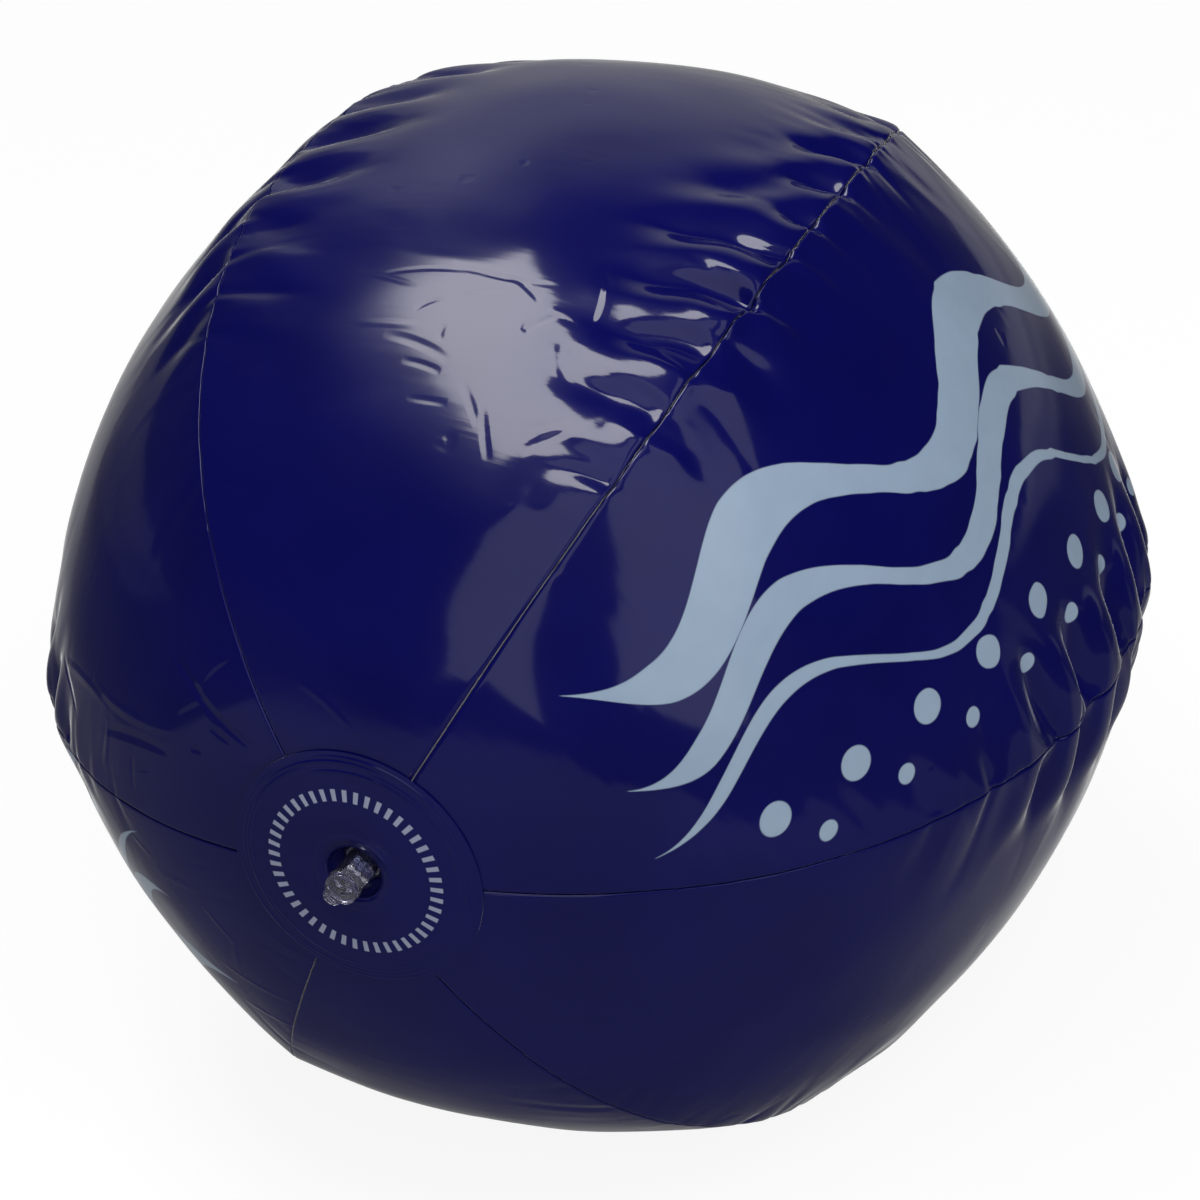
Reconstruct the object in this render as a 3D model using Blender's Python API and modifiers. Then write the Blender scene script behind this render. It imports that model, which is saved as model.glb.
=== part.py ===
"""Inflatable beach ball: six welded film panels, two end discs and a pull-out valve.

Metres, +Z up. The ball lies on one panel with its polar axis along Y and the valve facing -Y.
The origin is the middle of the flat where it rests.
"""

import math

import bmesh
import bpy
from mathutils import Matrix, Vector

# Ball
PANELS = 6
SEAM_RADIUS = 0.140  # polar axis to a seam, at the equator
POLE_HEIGHT = 0.137  # centre of the ball to where the seams would meet
SEAM_FULLNESS = 2.15  # 2 makes the seam an ellipse, more makes it boxier
PANEL_FLATNESS = 0.34  # 0 is a round section, 1 a flat-sided one
ROUND_END = 0.060  # run from the end disc over which the round section turns flat-sided
FILM = 0.00025
REST_DEPTH = 0.0018  # how far the lowest panel flattens under the ball's weight

# Welded seams
SEAM_GAP = 0.0003  # between the two weld fins of a seam
LIP = 0.0008  # rounding where a panel turns into its fin
FIN_WIDTH = 0.004

# End discs
DISC_RADIUS = 0.0335
DISC_FILM = 0.0003
DISC_FLAT = 0.016  # radius of the flat middle
WELD_BAND = 0.0065  # overlap of the disc on the panel tips
WELD_RIDGES = 2
RIDGE_HEIGHT = 0.0003
SEAT_GAP = 0.0003  # between pieces that touch

# Valve flange and sleeve
WELL_RADIUS = 0.0079
FLANGE_RADIUS = 0.011
FLANGE_THICKNESS = 0.0008
SLEEVE_FILM = 0.0004
SLEEVE_DEPTH = 0.0062  # disc face to the lower edge of the sleeve

# Valve stem
BORE_RADIUS = 0.0028
STEM_WALL = 0.0014
STEM_HEIGHT = 0.0054  # disc face to the mouth
STEM_DEPTH = 0.0070  # disc face to the inner end
MOUTH_BEAD = 0.0003
MOUTH_BEAD_HEIGHT = 0.0010
COLLAR_PROUD = 0.0006
COLLAR_HEIGHT = 0.0012

# Stopper
PLUG_CLEARANCE = 0.0003
SHANK_LENGTH = 0.0060
SHANK_TAPER = 0.0006
CAP_RADIUS = 0.0043
CAP_THICKNESS = 0.0018
CAP_ROUND = 0.0004
DIMPLE_RADIUS = 0.0012
DIMPLE_DEPTH = 0.0004
TAB_REACH = 0.0063  # stem axis to the end of the pull tab
TAB_WIDTH = 0.0044
TAB_THICKNESS = 0.0011
TAB_RIDGES = 3
TAB_RIDGE_RADIUS = 0.00022
STRAP_TURN = math.radians(45)  # side of the stem that the strap is on, from +X towards +Z

# Strap
STRAP_WIDTH = 0.0050
STRAP_THICKNESS = 0.0008
STRAP_BEND = 0.0011
STRAP_ROOT_HEIGHT = 0.0014  # disc face to the middle of the strap's root

# Non-return flap
FLAP_RADIUS = 0.0036
FLAP_THICKNESS = 0.0005
FLAP_EAR = 0.0004  # from the flap's edge to its hinge line

# Facets
PANEL_ROWS = 26
PANEL_COLUMNS = 8
DISC_STEPS = 36
VALVE_STEPS = 28
BEND_STEPS = 4

# Worked out from the sizes above
HALF_PANEL = math.pi / PANELS
TIP_RADIUS = DISC_RADIUS - WELD_BAND
PANEL_RADIUS = SEAM_RADIUS * (1 - PANEL_FLATNESS + PANEL_FLATNESS * math.cos(HALF_PANEL))
AXIS_HEIGHT = PANEL_RADIUS - REST_DEPTH
STEM_RADIUS = BORE_RADIUS + STEM_WALL
COLLAR_RADIUS = STEM_RADIUS + COLLAR_PROUD
CAP_SEAT = STEM_HEIGHT + SEAT_GAP
MERGE = 0.00001


def pole_height(radius):
    """Distance of the seam curve from the equator plane, at this distance from the axis."""
    return POLE_HEIGHT * (1 - (radius / SEAM_RADIUS) ** SEAM_FULLNESS) ** (1 / SEAM_FULLNESS)


def seam_point(turn):
    """(radius, y) on the seam curve: turn 0 is the valve pole, pi the blank pole."""
    power = 2 / SEAM_FULLNESS
    height = math.copysign(abs(math.cos(turn)) ** power, math.cos(turn))
    return SEAM_RADIUS * math.sin(turn) ** power, -POLE_HEIGHT * height


def seam_normal(radius, y):
    """Outward normal of the seam curve as (radius part, y part)."""
    power = SEAM_FULLNESS - 1
    across = (radius / SEAM_RADIUS) ** power / SEAM_RADIUS
    along = math.copysign((abs(y) / POLE_HEIGHT) ** power / POLE_HEIGHT, y)
    length = math.hypot(across, along)
    return across / length, along / length


def flatness(radius):
    """Flatness of the section, which is round under the end discs."""
    share = min(max((radius - DISC_RADIUS) / ROUND_END, 0), 1)
    return PANEL_FLATNESS * share * share * (3 - 2 * share)


DISC_TOP = pole_height(DISC_FLAT) + SEAT_GAP + DISC_FILM


def start_scene():
    for old in list(bpy.data.objects):
        bpy.data.objects.remove(old)


def new_collection(name):
    collection = bpy.data.collections.new(name)
    bpy.context.scene.collection.children.link(collection)
    return collection


def new_material(name, colour, roughness, metallic=0.0, alpha=1.0):
    material = bpy.data.materials.new(name)
    material.use_nodes = True
    shader = material.node_tree.nodes["Principled BSDF"]
    shader.inputs["Base Color"].default_value = (*colour, 1)
    shader.inputs["Roughness"].default_value = roughness
    shader.inputs["Metallic"].default_value = metallic
    shader.inputs["Alpha"].default_value = alpha
    return material


def new_empty(name, place, turn_x=0.0, parent=None):
    empty = bpy.data.objects.new(name, None)
    empty.location = place
    empty.rotation_euler = (turn_x, 0, 0)
    empty.parent = parent
    empty.empty_display_size = SEAM_RADIUS / 4
    PARTS.objects.link(empty)
    return empty


def new_part(name, mesh, parent, material=None, place=(0, 0, 0), collection=None):
    part = bpy.data.objects.new(name, mesh)
    part.parent = parent
    part.location = place
    if material and not mesh.materials:
        mesh.materials.append(material)
    (collection or PARTS).objects.link(part)
    return part


def add_shell(part, thickness):
    """Gives an open surface its thickness, on the inner side."""
    shell = part.modifiers.new("film", "SOLIDIFY")
    shell.thickness = thickness
    shell.offset = -1
    shell.use_even_offset = True


def smooth(mesh, sharp_angle=math.radians(40)):
    mesh.shade_smooth()
    mesh.set_sharp_from_angle(angle=sharp_angle)


def turned_mesh(name, profile, closed):
    """A profile of (radius, height) points in the XZ plane, for a Screw modifier."""
    mesh = bpy.data.meshes.new(name)
    points = [(radius, 0, height) for radius, height in profile]
    edges = [(i, i + 1) for i in range(len(points) - 1)]
    if closed:
        edges.append((len(points) - 1, 0))
    mesh.from_pydata(points, edges, [])
    return mesh


def turned_part(name, profile, parent, material, steps, closed=True, **placing):
    """Turns a profile, listed down its outer side, about the local Z axis."""
    part = new_part(name, turned_mesh(name, profile, closed), parent, material, **placing)
    turn = part.modifiers.new("turn", "SCREW")
    turn.steps = steps
    turn.render_steps = steps
    turn.use_merge_vertices = True
    turn.merge_threshold = MERGE
    turn.use_smooth_shade = False
    return part


def join_to(part, helper):
    """Unites a helper solid with a part."""
    helper.hide_render = True
    helper.display_type = "WIRE"
    union = part.modifiers.new(helper.name, "BOOLEAN")
    union.operation = "UNION"
    union.object = helper


# Film panels

def panel_point(column, row, rests):
    """A point of a panel, whose middle faces -Z: fin, lip, panel, lip, fin across; tip to tip along."""
    tip_turn = math.asin((TIP_RADIUS / SEAM_RADIUS) ** (SEAM_FULLNESS / 2))
    radius, y = seam_point(tip_turn + (math.pi - 2 * tip_turn) * row / PANEL_ROWS)
    last = PANEL_COLUMNS + 4
    if 2 <= column <= last - 2:
        reach = HALF_PANEL - (SEAM_GAP / 2 + LIP) / radius
        turn = reach * (1 - 2 * (column - 2) / PANEL_COLUMNS)
        flat = flatness(radius)
        radius *= 1 - flat + flat * math.cos(HALF_PANEL) / math.cos(turn)
        point = Vector((radius * math.sin(turn), y, -radius * math.cos(turn)))
    else:
        side = 1 if column < 2 else -1
        depth = LIP if column in (1, last - 1) else LIP + FIN_WIDTH
        across, along = seam_normal(radius, y)
        outward = Vector((side * math.sin(HALF_PANEL), 0, -math.cos(HALF_PANEL)))
        inward = Vector((-side * math.cos(HALF_PANEL), 0, -math.sin(HALF_PANEL)))
        point = outward * (radius - depth * across) + inward * (SEAM_GAP / 2)
        point.y = y - depth * along
    if rests:
        point.z = max(point.z, -AXIS_HEIGHT)
    return point


def panel_mesh(name, rests):
    """A grid drawn onto the inflated panel, with a lip and a weld fin on both long edges."""
    columns = PANEL_COLUMNS + 4
    sheet = bmesh.new()
    bmesh.ops.create_grid(sheet, x_segments=columns, y_segments=PANEL_ROWS, size=1)
    for vertex in sheet.verts:
        column = round((vertex.co.x + 1) / 2 * columns)
        row = round((vertex.co.y + 1) / 2 * PANEL_ROWS)
        vertex.co = panel_point(column, row, rests)
    mesh = bpy.data.meshes.new(name)
    sheet.to_mesh(mesh)
    sheet.free()
    smooth(mesh)
    return mesh


def make_panels(ball, film):
    resting = panel_mesh("panel_resting", True)
    plain = panel_mesh("panel", False)
    for index in range(PANELS):
        gore = new_part(f"gore_{index + 1}", plain if index else resting, ball, film)
        gore.rotation_euler.y = 2 * HALF_PANEL * index
        add_shell(gore, FILM)


# End discs

def disc_height(radius):
    """Height of the disc's face over its flat middle."""
    return pole_height(max(radius, DISC_FLAT)) - pole_height(DISC_FLAT)


def disc_profile(hole):
    """Face of a disc from its hole, or its middle, out over the weld ridges to its edge."""
    pitch = WELD_BAND / (2 * WELD_RIDGES + 1)
    band = [TIP_RADIUS + pitch * step for step in range(2 * WELD_RIDGES + 2)]
    profile = [(hole, 0), (DISC_FLAT, 0)]
    for step, radius in enumerate(band):
        rise = RIDGE_HEIGHT if step % 2 else 0
        last = step == len(band) - 1
        profile.append((radius, disc_height(radius) + (0 if last else rise)))
    return profile


def make_discs(valve_end, blank_end, film):
    for name, hole, end in (
        ("valve_end_disc", WELL_RADIUS, valve_end),
        ("blank_end_disc", 0, blank_end),
    ):
        disc = turned_part(name, disc_profile(hole), end, film, DISC_STEPS, closed=False)
        add_shell(disc, DISC_FILM)


# Valve

def make_flange(valve, clear):
    top = -DISC_FILM - SEAT_GAP
    under = top - FLANGE_THICKNESS
    profile = [(WELL_RADIUS, top), (FLANGE_RADIUS, top), (FLANGE_RADIUS, under), (WELL_RADIUS, under)]
    turned_part("valve_flange", profile, valve, clear, VALVE_STEPS)


def make_sleeve(valve, clear):
    """Soft sleeve from the flange down to the stem's collar: the well round the stem."""
    mouth = WELL_RADIUS - SEAT_GAP
    foot = COLLAR_RADIUS + SEAT_GAP + SLEEVE_FILM
    collar_top = -SLEEVE_DEPTH + COLLAR_HEIGHT
    flange_under = -DISC_FILM - SEAT_GAP - FLANGE_THICKNESS
    profile = [(mouth, -DISC_FILM), (mouth, flange_under), (foot, collar_top), (foot, -SLEEVE_DEPTH)]
    sleeve = turned_part("valve_sleeve", profile, valve, clear, VALVE_STEPS, closed=False)
    add_shell(sleeve, SLEEVE_FILM)


def make_stem(stem_axis, clear):
    collar_top = -SLEEVE_DEPTH + COLLAR_HEIGHT
    bead = STEM_RADIUS + MOUTH_BEAD
    bead_foot = STEM_HEIGHT - MOUTH_BEAD_HEIGHT
    profile = [
        (BORE_RADIUS, STEM_HEIGHT),
        (bead, STEM_HEIGHT),
        (bead, bead_foot),
        (STEM_RADIUS, bead_foot - MOUTH_BEAD),
        (STEM_RADIUS, collar_top),
        (COLLAR_RADIUS, collar_top),
        (COLLAR_RADIUS, -SLEEVE_DEPTH),
        (STEM_RADIUS, -SLEEVE_DEPTH),
        (STEM_RADIUS, -STEM_DEPTH),
        (BORE_RADIUS, -STEM_DEPTH),
    ]
    turned_part("valve_stem", profile, stem_axis, clear, VALVE_STEPS)


def make_tab(plug_axis):
    """Helper solids for the pull tab, which lies opposite the strap: a rounded plate and its grip ridges."""
    top = CAP_SEAT + TAB_THICKNESS
    round_end = TAB_WIDTH / 2
    outline = [(0, -round_end), (0, round_end)]
    for step in range(2 * BEND_STEPS + 1):
        turn = math.pi / 2 - math.pi * step / (2 * BEND_STEPS)
        outline.append((TAB_REACH - round_end + round_end * math.cos(turn), round_end * math.sin(turn)))
    curve = bpy.data.curves.new("tab_outline", "CURVE")
    curve.dimensions = "2D"
    curve.fill_mode = "BOTH"
    curve.extrude = TAB_THICKNESS / 2
    spline = curve.splines.new("POLY")
    spline.points.add(len(outline) - 1)
    for point, (x, y) in zip(spline.points, outline):
        point.co = (x, y, 0, 1)
    spline.use_cyclic_u = True
    guide = bpy.data.objects.new("tab_guide", curve)
    HELPERS.objects.link(guide)
    plate = bpy.data.meshes.new_from_object(guide.evaluated_get(bpy.context.evaluated_depsgraph_get()))
    bpy.data.objects.remove(guide)
    welded = bmesh.new()
    welded.from_mesh(plate)
    bmesh.ops.remove_doubles(welded, verts=welded.verts, dist=MERGE)
    bmesh.ops.recalc_face_normals(welded, faces=welded.faces)
    welded.to_mesh(plate)
    welded.free()
    turn = STRAP_TURN + math.pi
    helpers = [new_part("tab_plate", plate, plug_axis, collection=HELPERS)]
    helpers[0].location.z = top - TAB_THICKNESS / 2
    helpers[0].rotation_euler.z = turn
    free_run = TAB_REACH - CAP_RADIUS
    for index in range(TAB_RIDGES):
        ridge = bmesh.new()
        bmesh.ops.create_cone(
            ridge,
            cap_ends=True,
            segments=2 * BEND_STEPS,
            radius1=TAB_RIDGE_RADIUS,
            radius2=TAB_RIDGE_RADIUS,
            depth=TAB_WIDTH * 0.6,
        )
        mesh = bpy.data.meshes.new(f"tab_ridge_{index + 1}")
        ridge.to_mesh(mesh)
        ridge.free()
        out = CAP_RADIUS + free_run * (index + 0.5) / (TAB_RIDGES + 0.5)
        helper = new_part(mesh.name, mesh, plug_axis, collection=HELPERS)
        helper.location = (out * math.cos(turn), out * math.sin(turn), top)
        helper.rotation_euler = (math.pi / 2, 0, turn)
        helpers.append(helper)
    return helpers


def make_plug(plug_axis, clear):
    shank = BORE_RADIUS - PLUG_CLEARANCE
    cap_top = CAP_SEAT + CAP_THICKNESS
    foot = CAP_SEAT - SHANK_LENGTH
    profile = [
        (0, cap_top - DIMPLE_DEPTH),
        (DIMPLE_RADIUS - CAP_ROUND, cap_top - DIMPLE_DEPTH),
        (DIMPLE_RADIUS, cap_top),
        (CAP_RADIUS - CAP_ROUND, cap_top),
        (CAP_RADIUS, cap_top - CAP_ROUND),
        (CAP_RADIUS, CAP_SEAT),
        (shank, CAP_SEAT),
        (shank, foot + SHANK_TAPER),
        (shank - SHANK_TAPER, foot),
        (0, foot),
    ]
    plug = turned_part("valve_plug", profile, plug_axis, clear, VALVE_STEPS, closed=False)
    for helper in make_tab(plug_axis):
        join_to(plug, helper)


def strap_route():
    """Middle line of the strap as (radius, height): out of the stem, up, and back in to the cap."""
    reach = WELL_RADIUS - 2 * SEAT_GAP - SLEEVE_FILM - STRAP_THICKNESS / 2
    cap_middle = CAP_SEAT + CAP_THICKNESS / 2
    route = [(STEM_RADIUS + SEAT_GAP, STRAP_ROOT_HEIGHT)]
    for middle, start in ((STRAP_ROOT_HEIGHT + STRAP_BEND, -math.pi / 2), (cap_middle - STRAP_BEND, 0)):
        for step in range(BEND_STEPS + 1):
            turn = start + math.pi / 2 * step / BEND_STEPS
            route.append((reach - STRAP_BEND + STRAP_BEND * math.cos(turn), middle + STRAP_BEND * math.sin(turn)))
    route.append((CAP_RADIUS + SEAT_GAP, cap_middle))
    return route


def make_strap(stem_axis, clear):
    route = strap_route()
    band = bmesh.new()
    bmesh.ops.create_grid(band, x_segments=len(route) - 1, y_segments=2, size=1)
    for vertex in band.verts:
        radius, height = route[round((vertex.co.x + 1) / 2 * (len(route) - 1))]
        vertex.co = (radius, vertex.co.y * STRAP_WIDTH / 2, height)
    mesh = bpy.data.meshes.new("valve_strap")
    band.to_mesh(mesh)
    band.free()
    smooth(mesh)
    strap = new_part("valve_strap", mesh, stem_axis, clear)
    strap.rotation_euler.z = STRAP_TURN
    shell = strap.modifiers.new("thickness", "SOLIDIFY")
    shell.thickness = STRAP_THICKNESS
    shell.offset = 0
    shell.use_even_offset = True


def make_flap(stem_axis, clear):
    """Round flap under the inner end of the stem. Its origin is on the hinge line, above it."""
    hinge = FLAP_RADIUS + FLAP_EAR
    flap = bmesh.new()
    bmesh.ops.create_cone(
        flap,
        cap_ends=True,
        segments=VALVE_STEPS,
        radius1=FLAP_RADIUS,
        radius2=FLAP_RADIUS,
        depth=FLAP_THICKNESS,
        matrix=Matrix.Translation((0, -hinge, -FLAP_THICKNESS / 2)),
    )
    mesh = bpy.data.meshes.new("check_flap")
    flap.to_mesh(mesh)
    flap.free()
    new_part("check_flap", mesh, stem_axis, clear, place=(0, hinge, -STEM_DEPTH - SEAT_GAP))


start_scene()
PARTS = new_collection("beach_ball")
HELPERS = new_collection("helpers")
navy_film = new_material("navy_film", (0.003, 0.003, 0.070), 0.12)
clear_vinyl = new_material("clear_vinyl", (0.80, 0.82, 0.86), 0.15, alpha=0.5)

ball_centre = new_empty("ball_centre", (0, 0, AXIS_HEIGHT))
valve_end = new_empty("valve_end", (0, -DISC_TOP, 0), math.pi / 2, ball_centre)
blank_end = new_empty("blank_end", (0, DISC_TOP, 0), -math.pi / 2, ball_centre)
stem_axis = new_empty("stem_axis", (0, 0, 0), parent=valve_end)
plug_axis = new_empty("plug_axis", (0, 0, 0), parent=stem_axis)

make_panels(ball_centre, navy_film)
make_discs(valve_end, blank_end, navy_film)
make_flange(valve_end, clear_vinyl)
make_sleeve(valve_end, clear_vinyl)
make_stem(stem_axis, clear_vinyl)
make_plug(plug_axis, clear_vinyl)
make_strap(stem_axis, clear_vinyl)
make_flap(stem_axis, clear_vinyl)
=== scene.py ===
import functools
import math

import bpy
import numpy as np
from mathutils import Matrix, Vector


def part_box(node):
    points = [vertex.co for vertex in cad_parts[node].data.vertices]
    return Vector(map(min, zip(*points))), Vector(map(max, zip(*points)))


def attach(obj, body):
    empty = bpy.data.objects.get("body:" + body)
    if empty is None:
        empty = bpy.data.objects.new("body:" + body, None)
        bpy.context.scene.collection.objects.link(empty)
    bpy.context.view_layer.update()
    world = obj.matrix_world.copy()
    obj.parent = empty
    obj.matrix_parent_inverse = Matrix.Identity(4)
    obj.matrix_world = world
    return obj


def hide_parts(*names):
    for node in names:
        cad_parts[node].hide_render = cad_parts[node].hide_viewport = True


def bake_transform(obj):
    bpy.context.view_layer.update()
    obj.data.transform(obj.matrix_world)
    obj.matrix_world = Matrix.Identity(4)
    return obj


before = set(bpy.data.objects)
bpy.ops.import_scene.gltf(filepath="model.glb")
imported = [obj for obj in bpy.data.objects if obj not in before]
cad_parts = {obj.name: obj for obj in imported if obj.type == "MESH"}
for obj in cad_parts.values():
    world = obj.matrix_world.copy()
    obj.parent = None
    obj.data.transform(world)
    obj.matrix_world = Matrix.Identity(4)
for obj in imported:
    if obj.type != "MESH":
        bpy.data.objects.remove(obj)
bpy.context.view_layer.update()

discLow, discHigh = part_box("valve_end_disc")
axisHeight = (discLow.z + discHigh.z) / 2  # floor to the ball's polar axis
discFace = -discLow.y  # centre to the flat middle of a disc
ballCentre = Vector((0, 0, axisHeight))
valvePlace = Matrix.Translation((0, -discFace, axisHeight)) @ Matrix.Rotation(math.pi / 2, 4, "X")
blankPlace = Matrix.Translation((0, discFace, axisHeight)) @ Matrix.Rotation(-math.pi / 2, 4, "X")
print("frame loaded, axis at", round(axisHeight, 4))


# Modelling helpers

def pick(piece=None):
    # only this piece selected
    if bpy.context.mode != "OBJECT":
        bpy.ops.object.mode_set(mode="OBJECT")
    bpy.ops.object.select_all(action="DESELECT")
    if piece:
        bpy.context.view_layer.objects.active = piece
        piece.select_set(True)


def added(action, name, **settings):
    pick()
    action(**settings)
    piece = bpy.context.active_object
    piece.name = name
    return piece


def editAll():
    bpy.ops.object.mode_set(mode="EDIT")
    bpy.ops.mesh.select_mode(type="VERT")
    bpy.ops.mesh.select_all(action="SELECT")


def inEdit(action, **settings):
    # one operator on the whole piece
    editAll()
    action(**settings)
    bpy.ops.object.mode_set(mode="OBJECT")


def pointsOf(piece):
    flat = np.empty(len(piece.data.vertices) * 3)
    piece.data.vertices.foreach_get("co", flat)
    return flat.reshape(-1, 3)


def movePoints(piece, points):
    flat = np.ascontiguousarray(points, dtype=np.float32).ravel()
    piece.data.vertices.foreach_set("co", flat)
    piece.data.update()


def applied(piece, kind, **settings):
    pick(piece)
    modifier = piece.modifiers.new(kind.lower(), kind)
    for key, value in settings.items():
        setattr(modifier, key, value)
    bpy.ops.object.modifier_apply(modifier=modifier.name)


def bevelled(piece, width, segments, angle):
    limit = math.radians(angle)
    applied(piece, "BEVEL", width=width, segments=segments, limit_method="ANGLE", angle_limit=limit)


def fused(piece, other):
    applied(piece, "BOOLEAN", operation="UNION", object=other, solver="EXACT")
    bpy.data.objects.remove(other)


def placed(piece, place):
    pick(piece)
    piece.matrix_world = place
    bpy.ops.object.transform_apply(location=True, rotation=True, scale=True)


def smoothShaded(piece, angle):
    pick(piece)
    bpy.ops.object.shade_smooth_by_angle(angle=math.radians(angle))


def seated(piece, angle, place):
    smoothShaded(piece, angle)
    placed(piece, place)
    return piece


def turned(name, rings, steps, capStart=False, capEnd=False, closed=False):
    # rings of (radius, height), each pulled from the last
    radius, height = rings[0]
    circle = {"vertices": steps, "radius": radius, "location": (0, 0, height)}
    piece = added(bpy.ops.mesh.primitive_circle_add, name, **circle)
    bpy.ops.object.transform_apply(location=True, rotation=True, scale=True)
    editAll()
    if capStart:
        bpy.ops.mesh.edge_face_add()
        bpy.ops.mesh.select_all(action="SELECT")
        bpy.ops.mesh.select_mode(type="EDGE")
        bpy.ops.mesh.select_all(action="DESELECT")
        bpy.ops.mesh.select_non_manifold(extend=False)
    for nextRadius, nextHeight in rings[1:]:
        rise = (0, 0, nextHeight - height)
        bpy.ops.mesh.extrude_edges_move(TRANSFORM_OT_translate={"value": rise})
        share = nextRadius / radius
        bpy.ops.transform.resize(value=(share, share, 1), center_override=(0, 0, nextHeight))
        radius, height = nextRadius, nextHeight
    if capEnd:
        bpy.ops.mesh.edge_face_add()
    if closed:
        bpy.ops.mesh.select_all(action="DESELECT")
        bpy.ops.mesh.select_non_manifold(extend=False)
        bpy.ops.mesh.bridge_edge_loops()
    bpy.ops.mesh.select_all(action="SELECT")
    bpy.ops.mesh.normals_make_consistent(inside=False)
    bpy.ops.object.mode_set(mode="OBJECT")
    return piece


def finished(piece, look, slot, body, *nodes):
    piece.data.materials.clear()
    piece.data.materials.append(look)
    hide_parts(*nodes)
    if body:
        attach(piece, body)


# Shader helpers

def maths(operation, swapped=False):
    # a method that adds one Math node
    def method(self, *others):
        terms = (*others, self) if swapped else (self, *others)
        settings = {"operation": operation}
        return Wire.make(self.tree, "Math", dict(enumerate(terms)), settings)

    return method


class Wire:
    # one output socket, for plain maths
    def __init__(self, tree, socket):
        self.tree = tree
        self.socket = socket

    @classmethod
    def make(cls, tree, kind, inputs=None, settings=None, output=0):
        node = tree.nodes.new("ShaderNode" + kind)
        for key, value in (settings or {}).items():
            setattr(node, key, value)
        for key, value in (inputs or {}).items():
            if isinstance(value, Wire):
                tree.links.new(value.socket, node.inputs[key])
            else:
                node.inputs[key].default_value = value
        return cls(tree, node.outputs[output] if node.outputs else None)

    __add__, __radd__ = maths("ADD"), maths("ADD", True)
    __sub__, __rsub__ = maths("SUBTRACT"), maths("SUBTRACT", True)
    __mul__, __rmul__ = maths("MULTIPLY"), maths("MULTIPLY", True)
    __truediv__, __abs__ = maths("DIVIDE"), maths("ABSOLUTE")
    sine, root, share = maths("SINE"), maths("SQRT"), maths("FRACT")
    turn, most = maths("ARCTAN2"), maths("MAXIMUM")

    def ramp(self, low, high, start, end):
        # smooth step from low to high between start and end
        inputs = {"Value": self, "From Min": start, "From Max": end, "To Min": low, "To Max": high}
        smooth = {"interpolation_type": "SMOOTHSTEP"}
        return Wire.make(self.tree, "MapRange", inputs, smooth)

    def ramps(self, *steps):
        # several such steps, one times the other
        return math.prod(self.ramp(*step) for step in steps)

    def under(self, limit, edge):
        # 1 below the limit, 0 above it
        return self.ramp(1.0, 0.0, limit - edge, limit + edge)


def parts(tree, kind, inputs, *names):
    first = Wire.make(tree, kind, inputs)
    return [Wire(tree, first.socket.node.outputs[name]) for name in names]


def axes(tree, where):
    return parts(tree, "SeparateXYZ", {"Vector": where}, "X", "Y", "Z")


def rayKinds(tree):
    # seen by the camera, in the gloss, through clear pieces
    names = "Is Camera Ray", "Is Glossy Ray", "Is Transmission Ray"
    seen, glossy, through = parts(tree, "LightPath", None, *names)
    return seen, glossy.most(through), through


def newLook(name):
    look = bpy.data.materials.new(name)
    look.use_nodes = True
    look.node_tree.nodes.clear()
    return look, look.node_tree


def closeLook(tree, shader):
    Wire.make(tree, "OutputMaterial", {"Surface": shader})


def closeGloss(tree, relief, inputs):
    bump = {"Strength": 1.0, "Distance": 1.0, "Height": relief}
    inputs = {**inputs, "Normal": Wire.make(tree, "Bump", bump)}
    closeLook(tree, Wire.make(tree, "BsdfPrincipled", inputs))


def place3d(tree):
    return Wire.make(tree, "TexCoord", output="Object")


def noise(tree, where, scale, detail=2.0, rough=0.5):
    inputs = {"Vector": where, "Scale": scale, "Detail": detail, "Roughness": rough}
    return Wire.make(tree, "TexNoise", inputs)


patches = {  # scale, detail, roughness, level outside, start, end
    "cloud": (22, 3, 0.5, 0, 0.35, 0.65),
    "handled": (34, 4, 0.6, 0, 0.52, 0.72),
    "streaks": (17, 2, 0.5, 0.15, 0.42, 0.66),
    "dents": (13, 2, 0.5, 0, 0.50, 0.62),
    "hairs": (26, 2, 0.5, 0.1, 0.40, 0.62),
    "vinylStreaks": (420, 3, 0.5, 0, 0.4, 0.75),
    "vinylDull": (900, 3, 0.5, 0, 0.50, 0.8),
}


def patch(tree, where, name):
    scale, detail, rough, low, start, end = patches[name]
    return noise(tree, where, scale, detail, rough).ramp(low, 1, start, end)


def colourMix(tree, share, first, second):
    inputs = {0: share, 6: first, 7: second}  # the node's factor and its two colours
    return Wire.make(tree, "Mix", inputs, {"data_type": "RGBA"}, 2)


# Film finishes

film = {
    "navy": (0.0026, 0.0030, 0.092, 1),
    "navyDeep": (0.0020, 0.0023, 0.078, 1),
    "ink": (0.330, 0.430, 0.560, 1),
    "ringInk": (0.33, 0.36, 0.50, 1),
    "gloss": 0.075,
    "smear": (0.10, 260),  # added dullness, waves a metre
    "scuff": (0.12, -0.030, 0.022),  # added on the front panel, between these places across
    "index": 1.58,
    "haze": (0.20, 0.30),  # share and roughness of a highlight's veil
    "sheen": (0.85, 0.18),  # share and roughness of the bloom at the outline
    "peel": (620, 0.0000015),  # orange peel: waves a metre, depth
    "streak": (26, 190),  # waves a metre across and along
    "streakDepth": 0.00011,
    "dentSize": 62,  # small handling dents, cells a metre
    "dentRim": (0.04, 0.17),  # of a cell
    "dentDepth": 0.00008,
    "dentWander": (170, 0.007),  # waves a metre and metres
    "hair": (45, 950),  # finest streaks
    "hairDepth": 0.000016,
    "foldSpread": 2.4,  # of its width, where a fold has run out
    "inkDull": 0.10, "inkDepth": 0.00002,
    "inkWear": (0.12, 140),  # share worn off and waves a metre
}


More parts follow.
